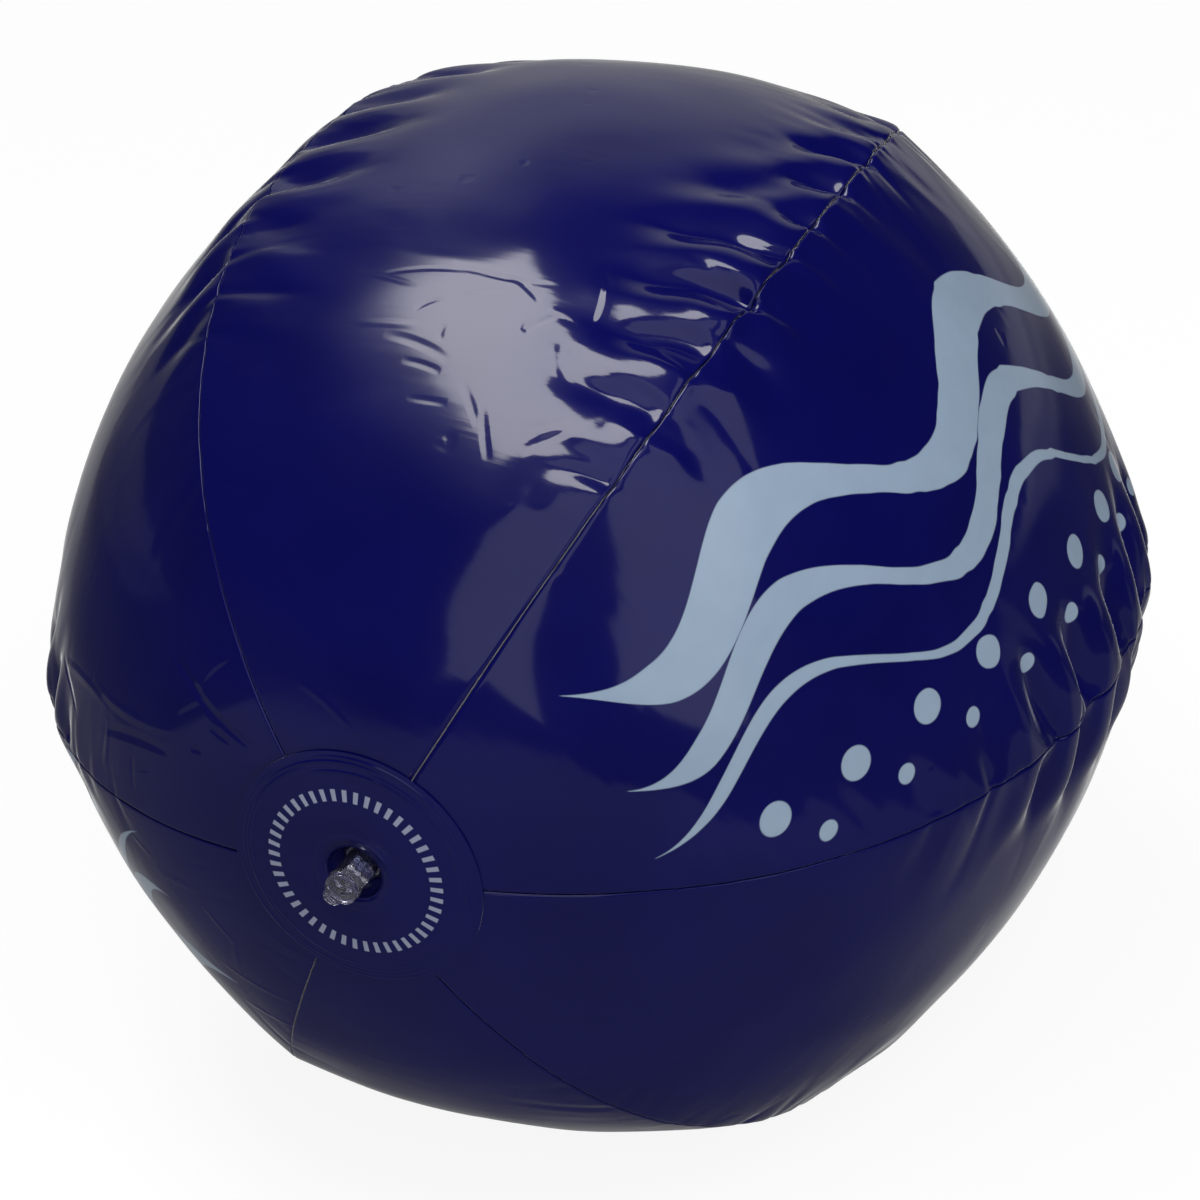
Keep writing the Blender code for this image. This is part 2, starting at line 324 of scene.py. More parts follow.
def filmSpot(tree):
    # metres across from the panel's middle line, and along from its valve tip
    spot = Wire.make(tree, "UVMap", settings={"uv_map": "film"})
    across, along, _ = axes(tree, spot)
    return (across - 0.5) * panel["uvSpan"], along * panel["uvSpan"]


def dentRelief(tree, where):
    # scattered small dents with wandering outlines
    scale, reach = film["dentWander"]
    inputs = {"Vector": where, "Scale": scale, "Detail": 1.0}
    wander = Wire.make(tree, "TexNoise", inputs, output="Color")
    inputs = {0: wander, 1: (reach,) * 3, 2: where}
    bent = Wire.make(tree, "VectorMath", inputs, {"operation": "MULTIPLY_ADD"})
    inputs = {"Vector": bent, "Scale": film["dentSize"]}
    gap = Wire.make(tree, "TexVoronoi", inputs, output="Distance")
    return gap.ramp(film["dentDepth"], 0, *film["dentRim"]) * patch(tree, where, "dents")


def streakNoise(tree, streak):
    # noise drawn out across the panels
    spot = Wire.make(tree, "UVMap", settings={"uv_map": "film"})
    inputs = {0: spot, 1: (*(panel["uvSpan"] * number for number in streak), 1)}
    spot = Wire.make(tree, "VectorMath", inputs, {"operation": "MULTIPLY"})
    return noise(tree, spot, 1.0, 1)


def foldSpan(across, along, place, side, turn, bow):
    # along and away from a curved fold line, for sockets or arrays
    cosine, sine = math.cos(math.radians(turn)), math.sin(math.radians(turn))
    out, up = across - side, along - place
    run = out * cosine + up * sine
    return run, abs(up * cosine - out * sine - run * run * bow)


def foldRelief(node, hairs=False):
    # sharp folds finer than the mesh, in the film's own map
    def relief(tree):
        across, along = filmSpot(tree)
        total = 0
        if hairs:
            shown = patch(tree, place3d(tree), "hairs") * film["hairDepth"]
            total = streakNoise(tree, film["hair"]) * shown
        for place, side, turn, half, depth, width, bow in sharpFolds[node]:
            run, away = foldSpan(across, along, place, side, turn, bow)
            fade = (1 - (run / half) * (run / half)).most(0)
            total = total + away.ramp(-depth, 0, 0, film["foldSpread"] * width) * fade
        return total

    return relief


def filmLook(name, markOf=None, ink="ink", streaks=True, reliefOf=None, scuffed=False):
    look, tree = newLook(name)
    where = place3d(tree)
    cloud = patch(tree, where, "cloud")
    colour = colourMix(tree, cloud, film["navyDeep"], film["navy"])
    smear, scale = film["smear"]
    dull = film["gloss"] + smear * patch(tree, where, "handled") * noise(tree, where, scale, 3)
    if scuffed:
        scuff, start, end = film["scuff"]
        dull = dull + filmSpot(tree)[0].ramp(0, scuff, start, end)
    scale, depth = film["peel"]
    relief = noise(tree, where, scale) * depth
    if streaks:
        shown = film["streakDepth"] * patch(tree, where, "streaks")
        relief = relief + shown * streakNoise(tree, film["streak"]) - dentRelief(tree, where)
    if reliefOf:
        relief = relief + reliefOf(tree)
    if markOf:
        mark = markOf(tree)
        wear, scale = film["inkWear"]
        worn = mark * (1 - wear * noise(tree, where, scale, 3))
        colour = colourMix(tree, worn, colour, film[ink])
        dull = dull + film["inkDull"] * mark
        relief = relief + film["inkDepth"] * mark
    closeGloss(tree, relief, {
        "Base Color": colour,
        "Roughness": dull,
        "IOR": film["index"],
        "Coat Weight": film["haze"][0],
        "Coat Roughness": film["haze"][1],
        "Sheen Weight": film["sheen"][0],
        "Sheen Roughness": film["sheen"][1],
    })
    return look


waves = {
    "start": 0.046,  # valve end, metres along the panel
    "end": 0.335, "fade": 0.024,
    "least": (0.02, 0.01),  # of the fade, where print starts, and its edge
    "length": 0.094,
    "bands": (  # middle, half width, swing, lag
        (0.020, 0.0085, 0.0110, 0.0),
        (-0.002, 0.0050, 0.0110, 0.7),
        (-0.019, 0.0022, 0.0100, 1.4),
    ),
    "swell": (0.8, 0.3, 1.2),  # mean, swing and lag of a band's width
    "bubbles": (  # place across, radius, pitch, lag
        (-0.036, 0.0042, 0.0235, 0.2),
        (-0.047, 0.0025, 0.0235, 0.7),
    ),
    "bubbleEnds": (0.02, 0.0001),  # from the print's ends, and its edge
    "edge": 0.00025,
}


def waveMark(tree):
    across, along = filmSpot(tree)
    start, end, fade = waves["start"], waves["end"], waves["fade"]
    ends = along.ramps((0, 1, start, start + fade), (1, 0, end - fade, end))
    phase = along * (2 * math.pi / waves["length"])
    mean, swing, later = waves["swell"]
    marks = []
    for middle, half, sway, lag in waves["bands"]:
        line = (phase + lag).sine() * sway + middle
        swell = (phase + lag + later).sine() * swing + mean
        marks.append((abs(across - line) - swell * ends * half).under(0, waves["edge"]))
    stop, edge = waves["bubbleEnds"]
    for middle, radius, pitch, lag in waves["bubbles"]:
        run = ((along / pitch + lag).share() - 0.5) * pitch
        gap = (run * run + (across - middle) * (across - middle)).root() - radius
        spot = along - run  # the bubble's own place along
        inside = spot.under(end - stop, edge) * (1 - spot.under(start + stop, edge))
        marks.append(gap.under(0, waves["edge"]) * inside)
    return functools.reduce(Wire.most, marks) * (1 - ends.under(*waves["least"]))


ring = {"radius": 0.022, "half": 0.0016, "edge": 0.00015, "strokes": 46, "fill": 0.42, "soft": 0.03}
pebble = {"radius": 0.0098, "half": 0.0014, "edge": 0.0004, "scale": 900, "depth": 0.00006}


def discBand(tree, band):
    # a band round the valve, and the turn round the axis
    x, y, z = axes(tree, place3d(tree))
    high = z - axisHeight
    gap = abs((x * x + high * high).root() - band["radius"])
    return gap.under(band["half"], band["edge"]) * y.under(0, band["edge"]), high.turn(x)


def ringMark(tree):
    band, turn = discBand(tree, ring)
    step = (turn * (ring["strokes"] / (2 * math.pi))).share()
    return band * abs(step - 0.5).under(ring["fill"] / 2, ring["soft"])


def pebbleRelief(tree):
    # grain over the flange behind the disc
    band, _ = discBand(tree, pebble)
    return noise(tree, place3d(tree), pebble["scale"]) * band * pebble["depth"]


# Film panels

panel = {
    "count": 6,
    "spread": 60,  # degrees round the axis
    "firstSeam": -120, "seamRadius": 0.140, "poleHeight": 0.137, "fullness": 2.15,
    "flatness": 0.34, "roundEnd": 0.060, "tipRadius": 0.027, "discRadius": 0.0335,
    "film": 0.00025, "rows": 300, "columns": 30,
    "crowding": 1.2,  # columns stand closer near the seams
    "slump": (0.00415, -0.00226),  # sideways and down, at the equator
    "drift": (0.71, -0.15, -1.62, -1.25, 0.0, 2.27),  # how far each seam wanders, degrees
    "uvSpan": 0.5,  # metres to one unit of the film's map
}
seams = {
    "shoulder": (  # from the seam out: place across, drop
        (0.00015, 0.00110),
        (0.00034, 0.00086),
        (0.00078, 0.00054),
        (0.00130, 0.00024),
        (0.00200, 0.00006),
    ),
    "level": 0.001,  # nearer places don't follow the film's slope
    "gap": 0.00015,  # least place across
    "size": (0.27, 0.36, 0.44, 0.58, 0.34, 0.32),  # of the shoulder at each seam
    "fin": 0.0040,
    "kink": (0.0005, 0.0005, 0.0005, 0.0005, 0.0040, 0.0005),  # sideways pull of a pinch
    "kinkReach": 0.003,
}
puckers = {
    "seed": 11,
    "first": 0.045,  # metres along, from the valve tip
    "last": 0.348,
    "known": {3: (0.072, 0.096, 0.1185, 0.130, 0.1435, 0.1565, 0.1767, 0.191, 0.210)},
    "spacing": (0.0080, 0.0165),
    "loose": (  # slack of each seam: middle, spread, amount
        ((0.200, 0.090, 0.45),),
        ((0.200, 0.090, 0.50),),
        ((0.140, 0.050, 0.30), (0.205, 0.050, 0.75), (0.290, 0.060, 0.60)),
        ((0.155, 0.055, 1.15), (0.255, 0.060, 0.70)),
        ((0.150, 0.055, 0.55), (0.260, 0.060, 0.60)),
        ((0.110, 0.040, 0.60), (0.240, 0.080, 0.65)),
    ),
    "least": 0.08,
    "calm": (2, 0.45),  # the half panel that lies flatter
    "depth": 0.0012,
    "deep": (0.35, 1.5),  # each pinch's share of the depth
    "reach": (0.014, 0.044),
    "width": (0.0026, 0.0046),
    "flare": 0.5,  # how much wider a pucker is at its end
    "tilt": 0.42,
}
darts = {  # the sharp fold in the middle of a pinch
    "depth": 0.00120,
    "width": (0.0011, 0.0020),
    "end": 0.0006,
    "reach": (0.35, 0.85),  # of the pucker's
    "swell": (0.30, 1.7),  # beside the fold, of its depth and width
}
lines = {  # fine creases across the seams
    "seed": 21,
    "spacing": (0.0030, 0.0085),
    "depth": (0.00008, 0.00042),
    "width": (0.0009, 0.0017),
    "reach": (0.006, 0.042),
    "start": (0, 0.6),  # of its reach, where it begins off the seam
    "tilt": 0.45, "bow": 7.0, "sharp": 1.4,
}
swell = {  # long soft unevenness of the film
    "seed": 8, "waves": 48,
    "length": (0.020, 0.048),
    "height": 0.00011,
    "start": (0.036, 0.03),  # radius where it begins, distance to full
}
relax = {  # how the slack film settles
    "rounds": 72,
    "excess": 0.040,  # spare length along a seam
    "excessPower": 5, "spare": 1.2, "spareRows": 5, "slackGain": 1.3,
    "seamGain": (1.6, 0.2),
    "hold": (0.001, 0.012),  # gap to the disc where it is held, distance to free
    "slant": 0.5,
    "keep": 0.9,  # of the speed, from round to round
    "push": 0.45, "step": 0.5, "stiffness": 0.010,
    "tie": 0.25,  # to the round shape, over long spans
    "tieRows": 21,
    "cusp": 0.75,  # how far valleys sharpen into folds
    "cuspMean": 1.27,
}


def metres(*folds):
    # from millimetres, but for turn (degrees) and bow (1/m)
    return [
        (place / 1000, side / 1000, turn, half / 1000, depth / 1000, width / 1000, bow)
        for place, side, turn, half, depth, width, bow in folds
    ]


# Folds by panel: place along, place across, turn, half length, depth, width, bow
creases = {
    "seed": 4,
    "each": 12,  # faint packing creases in a panel
    "along": (0.07, 0.32),
    "across": (-0.055, 0.055),
    "depth": (0.00006, 0.00020),
    "width": (0.0012, 0.0030),
    "length": (0.010, 0.034),
    "bow": 9.0,
    "edge": 8,  # how fast they rise from the seams
    "known": {
        3: metres(
            (88, -37.5, 88, 46, 0.20, 1.6, 0.8), (157, -34, 90, 34, -0.42, 1.7, 5),
            (143, 12, 8, 30, -0.20, 2.0, 4), (150, 18, 35, 22, 0.22, 1.6, -6),
        ),
    },
}
facets = {  # folds that tilt the film beside the main seam
    3: metres(
        (174.9, -64, 183, 12.5, -1.6, 3.0, 0), (161.1, -61, 152, 16.5, -2.0, 3.4, 0),
        (146.9, -63.7, 142, 14, -2.0, 3.4, 0), (128.6, -58, 168, 12.5, -1.8, 3.2, 0),
        (109.6, -56.3, 179, 7.5, -1.3, 2.2, 0), (191.9, -65, 153, 11.5, -0.9, 2.2, 0),
    ),
    2: metres(
        (155.7, 61.2, 150, 10.5, -1.8, 2.6, 0), (176.3, 63, 170, 11, -1.8, 2.6, 0),
        (132.5, 57, 148, 11, -1.8, 2.6, 0), (110.3, 53.9, 159, 8.5, -1.5, 2.4, 0),
        (202.2, 62.4, 173, 10.5, -0.8, 1.8, 0),
    ),
}
sharpFolds = {  # folds finer than the mesh
    "gore_4": metres(
        (132.4, 7.6, 172, 13.2, 0.09, 0.5, 6), (133.1, -11.5, 181, 14.7, 0.12, 0.6, -8),
        (128.9, 18.3, 193, 9.6, 0.10, 0.6, 0), (122.3, 4.1, 142, 4.0, 0.09, 0.5, 60),
        (114.2, -2.8, 86, 2.6, 0.10, 0.6, 80), (127.4, -6.8, 156, 8.2, 0.05, 0.4, 10),
        (131.7, -18.8, 208, 6.1, 0.10, 0.6, 20), (123.4, -26.3, 139, 5.1, 0.09, 0.5, 40),
        (126.6, -33.3, 194, 7.1, -0.10, 0.7, 30), (113.4, -35.2, 241, 6.9, 0.04, 0.8, -25),
        (97.1, -40.9, -43, 11.9, 0.14, 0.8, 0), (99.6, -40.5, -31, 10.5, 0.12, 0.8, 8),
        (110.3, 1.6, 194, 10.2, 0.13, 0.8, 10), (115.0, 11.9, 177, 8.9, -0.10, 0.7, 0),
        (104.8, -0.9, 188, 5.6, 0.10, 0.6, 12), (95.8, -5.5, 177, 5.4, 0.08, 0.6, 0),
        (97.4, -16.6, 233, 7.1, 0.05, 0.7, 0), (91.4, -22.3, 247, 7.4, 0.05, 0.7, 0),
        (18.9, 6.4, 218, 10.6, -0.10, 0.6, 6), (33.1, 29.4, 207, 4.5, -0.08, 0.6, 0),
        (134.7, -38.6, -105, 12.3, -0.22, 0.8, 25),
    ),
    "gore_3": metres(
        (34.6, -13.8, -81, 12.5, 0.27, 0.9, 6), (22.5, -12.5, -91, 12.2, 0.25, 0.8, -4),
        (34.4, -22.4, 177, 8.7, -0.22, 0.8, 12), (74.0, 26.3, 244, 17.0, -0.25, 0.9, 6),
        (49.0, 13.5, 242, 20.6, -0.27, 0.9, -5), (46.2, 17.6, 235, 17.9, 0.29, 0.9, 4),
        (56.7, 30.7, 3, 7.9, -0.22, 0.7, 12), (20.8, -8.8, -97, 3.9, 0.17, 0.6, 0),
        (24.3, 0.6, 237, 2.4, 0.17, 0.6, 40), (44.1, 26.8, -6, 6.1, 0.15, 0.6, 0),
        (39.8, 22.1, 226, 6.2, 0.10, 0.5, 0), (82.6, 36.0, -75, 8.7, 0.27, 0.8, 10),
        (31.4, 20.8, 243, 11.3, 0.09, 0.6, 0), (32.2, -8.5, 201, 6.4, -0.14, 0.7, 0),
    ),
    "gore_2": metres(
        (36.1, -13.2, -66, 12.0, -0.10, 0.8, 0), (21.1, -6.9, -69, 9.3, 0.08, 0.8, 0),
        (30.1, 0.4, -8, 7.4, -0.13, 0.6, 0), (33.6, 9.7, 50, 8.3, -0.08, 0.6, 0),
        (38.3, 19.9, -39, 12.1, -0.13, 0.7, 0), (11.3, 11.2, -17, 9.2, -0.08, 0.7, 0),
        (16.1, 11.2, -34, 8.8, 0.08, 0.7, 0), (50.2, 30.3, -47, 8.9, -0.16, 0.7, 0),
        (49.2, -25.4, -47, 6.2, -0.11, 0.6, 0), (24.0, -17.2, -71, 8.7, 0.08, 0.7, 0),
        (21.4, 18.4, 2, 6.1, 0.08, 0.7, 0),
    ),
}


def lengths(spans):
    return np.linalg.norm(spans, axis=-1)


def unit(spans):
    return spans / lengths(spans)[..., None]


def onFloor(points):
    points[..., 2] = np.maximum(points[..., 2], 0)
    return points


def seamProfile():
    power = 2 / panel["fullness"]
    tip = math.asin((panel["tipRadius"] / panel["seamRadius"]) ** (1 / power))
    turn = np.linspace(tip, math.pi - tip, panel["rows"] + 1)
    height = np.sign(np.cos(turn)) * np.abs(np.cos(turn)) ** power
    return panel["seamRadius"] * np.sin(turn) ** power, -panel["poleHeight"] * height


def ballSurface():
    # rows from the valve tip to the far tip, columns round the ball
    radius, y = seamProfile()
    across = np.linspace(-1, 1, panel["columns"] + 1)[:-1]
    across = np.sign(across) * (1 - (1 - np.abs(across)) ** panel["crowding"])
    share = (across + 1) / 2
    spread = math.radians(panel["spread"])
    drift = np.radians(panel["drift"])
    angles = np.concatenate([
        math.radians(panel["spread"] * k + panel["firstSeam"])
        + share * spread
        + drift[k] * (1 - share)
        + drift[(k + 1) % panel["count"]] * share
        for k in range(panel["count"])
    ])
    across = np.tile(across, panel["count"])
    step = np.clip((radius - panel["discRadius"]) / panel["roundEnd"], 0, 1)
    flat = (panel["flatness"] * step * step * (3 - 2 * step))[:, None]
    chord = math.cos(spread / 2) / np.cos(across * spread / 2)
    out = radius[:, None] * (1 - flat + flat * chord)
    lean = np.sqrt(1 - np.abs(y) / panel["poleHeight"])[:, None]
    aside, down = panel["slump"]
    points = np.stack([
        out * np.cos(angles) + aside * lean,
        np.repeat(y[:, None], len(angles), 1),
        axisHeight + out * np.sin(angles) + down * lean,
    ], -1)
    along = np.concatenate([[0], np.cumsum(np.hypot(np.diff(radius), np.diff(y)))])
    return onFloor(points), along, across


def outwards(points):
    # unit normals that point out of the ball
    down = np.gradient(points, axis=0)
    side = np.roll(points, -1, 1) - np.roll(points, 1, 1)
    normal = unit(np.cross(down, side))
    return normal * np.sign(((points - np.array(ballCentre)) * normal).sum(-1).mean())


def looseness(along):
    # slack at every row and column, from the nearest seam
    table = [
        sum(amount * np.exp(-(((along - middle) / spread) ** 2)) for middle, spread, amount in seam)
        for seam in puckers["loose"]
    ]
    columns, count = panel["columns"], panel["count"]
    near = [(column + columns // 2) // columns % count for column in range(columns * count)]
    ends = np.sin(math.pi * along / along[-1]).clip(0, 1) ** 0.5
    slack = np.stack([(table[k] + puckers["least"]) * ends for k in near], 1)
    calm, share = puckers["calm"]
    slack[:, calm * columns + columns // 2 : (calm + 1) * columns] *= share
    return slack


def pinches():
    # gathers along the seams, with their folds on both sides
    rng = np.random.default_rng(puckers["seed"])
    found = []
    for k in range(panel["count"]):
        places = list(puckers["known"].get(k, ()))
        place = (places[-1] if places else puckers["first"]) + rng.uniform(*puckers["spacing"])
        while place < puckers["last"]:
            places.append(place)
            place += rng.uniform(*puckers["spacing"])
        for place in places:
            found.append({
                "seam": k,
                "place": place,
                "deep": rng.uniform(*puckers["deep"]),
                "width": rng.uniform(*puckers["width"]),
                "dart": rng.uniform(*darts["width"]),
                "kink": rng.uniform(-1, 1),
                "sides": [
                    (
                        side,
                        rng.uniform(*puckers["reach"]),
                        rng.uniform(-1, 1) * puckers["tilt"],
                        rng.uniform(*darts["reach"]),
                    )
                    for side in (-1, 1)
                ],
            })
    return found


def halfWidth(points):
    return lengths(points[:, panel["columns"] // 2] - points[:, 0])


def strips(along, across, points, seam, side, place, tilt, bow=0):
    # columns from a seam to the middle line, how far off they are and their gap to a fold line
    columns = panel["columns"]
    for step in range(side < 0, columns // 2 + 1):  # the seam's own column on one side only
        column = (seam * columns + side * step) % (columns * panel["count"])
        off = (1 - abs(across[column])) * halfWidth(points)
        yield column, off, np.abs(along - place - tilt * off - bow * off**2)


def endFade(run):
    return np.clip(1 - run**2, 0, 1) ** 1.5


def pinchField(along, across, points, profile):
    # a profile of each pinch on both sides of its seam
    loose = looseness(along)
    field = np.zeros(points.shape[:2])
    for pinch in pinches():
        for side, reach, tilt, dartReach in pinch["sides"]:
            start = pinch["seam"], side, pinch["place"], tilt
            for column, off, gap in strips(along, across, points, *start):
                rise = profile(pinch, gap, off, reach, dartReach)
                field[:, column] += pinch["deep"] * loose[:, column] * rise
    return field


def puckerProfile(pinch, gap, off, reach, dartReach):
    width = pinch["width"] * (1 + puckers["flare"] * off / reach)
    return -puckers["depth"] * endFade(off / reach) * np.exp(-gap / width)


def dartProfile(pinch, gap, off, reach, dartReach):
    run = np.clip(1 - off / (reach * dartReach), 0, 1)
    width = darts["end"] + (pinch["dart"] - darts["end"]) * run
    height, place = darts["swell"]
    fold = np.clip(1 - gap / width, 0, 1) - height * np.exp(-(((gap - place * width) / width) ** 2))
    return -darts["depth"] * run * fold


def kinkProfile(pinch, gap, off, reach, dartReach):
    pull = seams["kink"][pinch["seam"]] * pinch["kink"]
    return pull * np.exp(-(gap + off) / seams["kinkReach"])


def lineField(along, across, points):
    # fine creases where the film is slack
    rng = np.random.default_rng(lines["seed"])
    loose = looseness(along).clip(0, 1)
    field = np.zeros(points.shape[:2])
    for k in range(panel["count"]):
        place = puckers["first"]
        while place < puckers["last"]:
            place += rng.uniform(*lines["spacing"])
            for side in (-1, 1):
                deep = rng.uniform(*lines["depth"]) * rng.choice((-1, 1, 1))
                width, reach = rng.uniform(*lines["width"]), rng.uniform(*lines["reach"])
                start = rng.uniform(*lines["start"]) * reach * rng.choice((0, 1))
                tilt = rng.uniform(-1, 1) * lines["tilt"]
                bow = rng.uniform(-1, 1) * lines["bow"]
                line = k, side, place, tilt, bow
                for column, off, gap in strips(along, across, points, *line):
                    fold = np.exp(-((gap / width) ** lines["sharp"]))
                    fold *= endFade((off - start) / reach)
                    field[:, column] -= deep * loose[:, column] * fold
    return field


def swellField(points):
    rng = np.random.default_rng(swell["seed"])
    field = np.zeros(points.shape[:2])
    for _ in range(swell["waves"]):
        way = rng.normal(size=3)
        way *= 2 * math.pi / rng.uniform(*swell["length"]) / np.linalg.norm(way)
        field += np.sin(points @ way + rng.uniform(0, 2 * math.pi))
    radius = np.hypot(points[..., 0], points[..., 2] - axisHeight)
    start, full = swell["start"]
    share = np.clip((radius - start) / full, 0, 1)
    return field * swell["height"] * math.sqrt(2 / swell["waves"]) * share


def foldLine(along, offset, place, side, turn, half, depth, width, bow):
    run, away = foldSpan(offset, along[:, None], place, side, turn, bow)
    fade = np.clip(1 - (run / half) ** 2, 0, 1) ** 2
    return -depth * fade * np.exp(-away / width)


def creaseField(along, across, points):
    # short packing creases in each panel, and the facets
    rng = np.random.default_rng(creases["seed"])
    columns = panel["columns"]
    half = halfWidth(points)
    field = np.zeros(points.shape[:2])
    for k in range(panel["count"]):
        folds = list(creases["known"].get(k, ()))
        for _ in range(creases["each"]):
            folds.append((
                rng.uniform(*creases["along"]),
                rng.uniform(*creases["across"]),
                rng.uniform(0, 180),
                rng.uniform(*creases["length"]),
                rng.uniform(*creases["depth"]) * rng.choice((-1, 1)),
                rng.uniform(*creases["width"]),
                rng.uniform(-1, 1) * creases["bow"],
            ))
        span = slice(k * columns, (k + 1) * columns)
        offset = across[None, span] * half[:, None]
        edge = np.clip((1 - np.abs(across[span])) * creases["edge"], 0, 1)
        for fold in folds:
            field[:, span] += foldLine(along, offset, *fold) * edge
        for fold in facets.get(k, ()):
            field[:, span] += foldLine(along, offset, *fold)
    return field


def blurred(values, rows):
    # running mean down the rows
    pad = rows // 2
    margin = ((pad + 1, pad),) + ((0, 0),) * (values.ndim - 1)
    total = np.cumsum(np.pad(values, margin, "edge"), axis=0)
    return (total[rows:] - total[:-rows]) / rows


def pull(span, rest, share):
    # half of what a span lacks or has over
    length = lengths(span)
    return span * (share * 0.5 * (length - rest) / length)[..., None]


def settle(along, across, points, start, outward):
    # film with spare length at its seams, let lie on the round shape
    r = relax
    baseLong = lengths(np.diff(points, axis=0))
    ratio = np.maximum(lengths(np.diff(start, axis=0)) / baseLong, 1) - 1
    ratio = blurred(blurred(ratio, r["spareRows"]), r["spareRows"]) * r["spare"]
    loose = looseness(along)
    nearSeam = np.abs(across)
    ratio = ratio + r["excess"] * (loose[1:] + loose[:-1]) / 2 * nearSeam ** r["excessPower"]
    gain, less = r["seamGain"]
    grow = np.clip(loose * r["slackGain"], 0, 1) * np.clip(nearSeam * gain - less, 0, 1)
    longRest = baseLong * (1 + ratio)
    wideRest = lengths(np.roll(points, -1, 1) - points)
    meanWide = (wideRest[1:] + wideRest[:-1]) / 2
    slantRest = np.hypot((longRest + np.roll(longRest, -1, 1)) / 2, meanWide)
    radius = np.hypot(points[..., 0], points[..., 2] - axisHeight)
    held, full = r["hold"]
    free = np.clip((radius - panel["discRadius"] - held) / full, 0, 1)[..., None]
    above, below, every = slice(None, -1), slice(1, None), slice(None)
    links = (  # rows, rows they are tied to, columns aside, rest length, share
        (above, below, 0, longRest, 1),
        (every, every, 1, wideRest, 1),
        (above, below, 1, slantRest, r["slant"]),
        (below, above, 1, slantRest, r["slant"]),
    )
    shape = start.copy()
    speed = np.zeros_like(shape)
    for _ in range(r["rounds"]):
        move = np.zeros_like(shape)
        for here, there, side, rest, share in links:
            tug = pull(np.roll(shape, -side, 1)[there] - shape[here], rest, share)
            move[here] += tug
            move[there] -= np.roll(tug, side, 1)
        bend = np.zeros_like(shape)
        bend[1:-1] = (shape[2:] + shape[:-2]) / 2 - shape[1:-1]
        bend[1:-1] -= (bend[2:] + bend[:-2]) / 2
        speed = speed * r["keep"] + move * r["push"] + bend * r["stiffness"]
        shape = shape + speed * r["step"] * free
        rise = blurred(((shape - points) * outward).sum(-1), r["tieRows"])
        even = blurred(rise, r["tieRows"])
        shape = onFloor(shape - outward * ((even + (rise - even) * grow) * r["tie"])[..., None])
    rise = ((shape - points) * outward).sum(-1)
    wave = rise - blurred(rise, r["tieRows"])
    size = np.sqrt(2 * blurred(wave**2, r["tieRows"])) + 0.000001
    sharp = 2 * np.sqrt((1 + np.clip(wave / size, -1, 1)) / 2) - r["cuspMean"]
    change = (sharp * size - np.clip(wave, -size, size)) * r["cusp"] * grow
    return shape + outward * (change * free[..., 0])[..., None]


def panelGrid(shape, outward, k):
    # one panel, with a rounded lip and a weld fin at both seams
    columns = panel["columns"]
    span = [(k * columns + j) % shape.shape[1] for j in range(columns + 1)]
    inner = [shape[:, column] for column in span[1:-1]]
    edges = []
    for seam, first in ((span[0], span[1]), (span[-1], span[-2])):
        spot, up = shape[:, seam], outward[:, seam]
        slope = unit(shape[:, first] - spot)
        level = unit(slope - up * (slope * up).sum(-1, keepdims=True))
        size = seams["size"][seam // columns]
        rim = [
            spot
            + (slope if place > seams["level"] else level) * max(place * size, seams["gap"])
            - up * drop * size
            for place, drop in seams["shoulder"]
        ]
        edges.append([rim[0] - up * seams["fin"], *rim])
    return onFloor(np.stack([*edges[0], *inner, *edges[1][::-1]], 1))


def filmMap(piece, grid):
    # metres across from the middle line and along from the valve tip
    rows, columns = grid.shape[:2]
    across = np.cumsum(lengths(np.diff(grid, axis=1)), axis=1)
    across = np.concatenate([np.zeros((rows, 1)), across], 1)
    across -= across[:, -1:] / 2
    along = np.cumsum(lengths(np.diff(grid[:, columns // 2], axis=0)))
    along = np.repeat(np.concatenate([[0], along])[:, None], columns, 1)
    spots = np.stack([across / panel["uvSpan"] + 0.5, along / panel["uvSpan"]], -1).reshape(-1, 2)
    layer = piece.data.uv_layers.new(name="film")
    corners = np.empty(len(piece.data.loops), np.int32)
    piece.data.loops.foreach_get("vertex_index", corners)
    layer.uv.foreach_set("vector", spots[corners].astype(np.float32).ravel())


def panelPiece(name, grid):
    rows, columns = grid.shape[:2]
    size = {"x_subdivisions": columns - 1, "y_subdivisions": rows - 1, "size": 2}
    piece = added(bpy.ops.mesh.primitive_grid_add, name, **size)
    while piece.data.uv_layers:
        piece.data.uv_layers.remove(piece.data.uv_layers[0])
    start = pointsOf(piece)
    column = np.rint((start[:, 0] + 1) / 2 * (columns - 1)).astype(int)
    row = np.rint((start[:, 1] + 1) / 2 * (rows - 1)).astype(int)
    order = row * columns + column
    assert (np.sort(order) == np.arange(rows * columns)).all()
    points = grid.reshape(-1, 3)[order]
    movePoints(piece, points)
    filmMap(piece, points.reshape(rows, columns, 3))
    inEdit(bpy.ops.mesh.flip_normals)
    applied(piece, "SUBSURF", levels=1, render_levels=1)
    applied(piece, "SOLIDIFY", thickness=panel["film"], offset=-1)
    smoothShaded(piece, 60)
    return piece


plainFilm = filmLook("navyFilm")
panelFilms = {
    "gore_4": filmLook("navyFilmFront", reliefOf=foldRelief("gore_4", True), scuffed=True),
    "gore_3": filmLook("navyFilmSide", reliefOf=foldRelief("gore_3")),
    "gore_2": filmLook("navyFilmWavesSide", waveMark, reliefOf=foldRelief("gore_2")),
    "gore_5": filmLook("navyFilmWaves", waveMark),
}
discFilm = filmLook("navyDiscFilm", ringMark, "ringInk", False, pebbleRelief)

